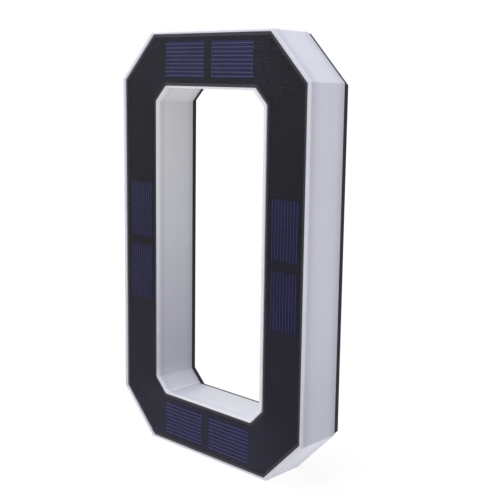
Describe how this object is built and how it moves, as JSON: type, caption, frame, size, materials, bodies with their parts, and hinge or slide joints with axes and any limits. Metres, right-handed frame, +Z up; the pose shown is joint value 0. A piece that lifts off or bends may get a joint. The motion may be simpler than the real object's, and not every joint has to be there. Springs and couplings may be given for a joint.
{
  "type": "solar house number sign",
  "caption": "Solar-lit house number in the shape of a zero: a milky housing ring with a solar panel front, a screwed rear cover with keyholes, and a push button on the back.",
  "frame": {"origin": "bottom centre of the sign's bounding box, below the middle of the lower limb", "axes": "-Y out of the solar panel's face towards the viewer, +Y out of the rear cover towards the wall, +Z up, +X to the viewer's right"},
  "size_m": [0.123, 0.0252, 0.2],
  "materials": {
    "milky_housing": "milky translucent moulded plastic, satin",
    "black_laminate": "black glass fibre board, fine grain",
    "clear_film": "clear laminated film",
    "solar_cell": "dark navy silicon with fine silver finger lines",
    "adhesive_tape": "white acrylic foam tape",
    "black_rubber": "black silicone",
    "black_cover": "black moulded plastic, fine texture",
    "steel_screw": "stainless",
    "white_sheet": "white film and white solder mask",
    "light_chip": "yellow phosphor in a white package",
    "green_board": "green solder mask",
    "black_package": "black epoxy",
    "dark_ferrite": "dark ferrite",
    "ivory_plastic": "ivory nylon",
    "red_plastic": "red acetal",
    "grey_button": "dark grey, satin",
    "battery_wrap": "blue shrink wrap over a metal can",
    "foam_pad": "dark foam",
    "nickel_tab": "nickel strip",
    "wire_insulation": "red and black insulation",
    "link_insulation": "white insulation"
  },
  "bodies": {
    "sign": {"housing": "milky_housing", "solar_board": "black_laminate", "panel_film": "clear_film", "panel_tape": "adhesive_tape", "lead_grommet": "black_rubber", "cell_top_left": "solar_cell", "cell_top_right": "solar_cell", "cell_bottom_left": "solar_cell", "cell_bottom_right": "solar_cell", "cell_left_upper": "solar_cell", "cell_left_lower": "solar_cell", "cell_right_upper": "solar_cell", "cell_right_lower": "solar_cell", "rear_cover": "black_cover", "outer_seal": "black_rubber", "window_seal": "black_rubber", "cover_screws": "steel_screw", "reflector_left": "white_sheet", "reflector_right": "white_sheet", "light_bar_left": "white_sheet", "light_bar_right": "white_sheet", "light_bar_top": "white_sheet", "light_bar_bottom": "white_sheet", "lights_left": "light_chip", "lights_right": "light_chip", "lights_top": "light_chip", "lights_bottom": "light_chip", "control_board": "green_board", "board_screws": "steel_screw", "driver_chips": "black_package", "charging_coil": "dark_ferrite", "wire_sockets": "ivory_plastic", "power_switch": "black_package", "battery": "battery_wrap", "battery_pad": "foam_pad", "battery_tabs": "nickel_tab", "panel_wires": "wire_insulation", "battery_wires": "wire_insulation", "light_feed_wires": "wire_insulation", "light_link_wires": "link_insulation"},
    "button": {"power_button": "grey_button", "button_ring": "black_rubber", "switch_plunger": "red_plastic"}
  },
  "joints": [
    {"name": "button_press", "type": "slide", "parent": "sign", "child": "button", "axis": [0, -1, 0], "range_m": [0, 0.001], "stiffness_N_per_m": 600, "springref_m": -0.0005}
  ]
}
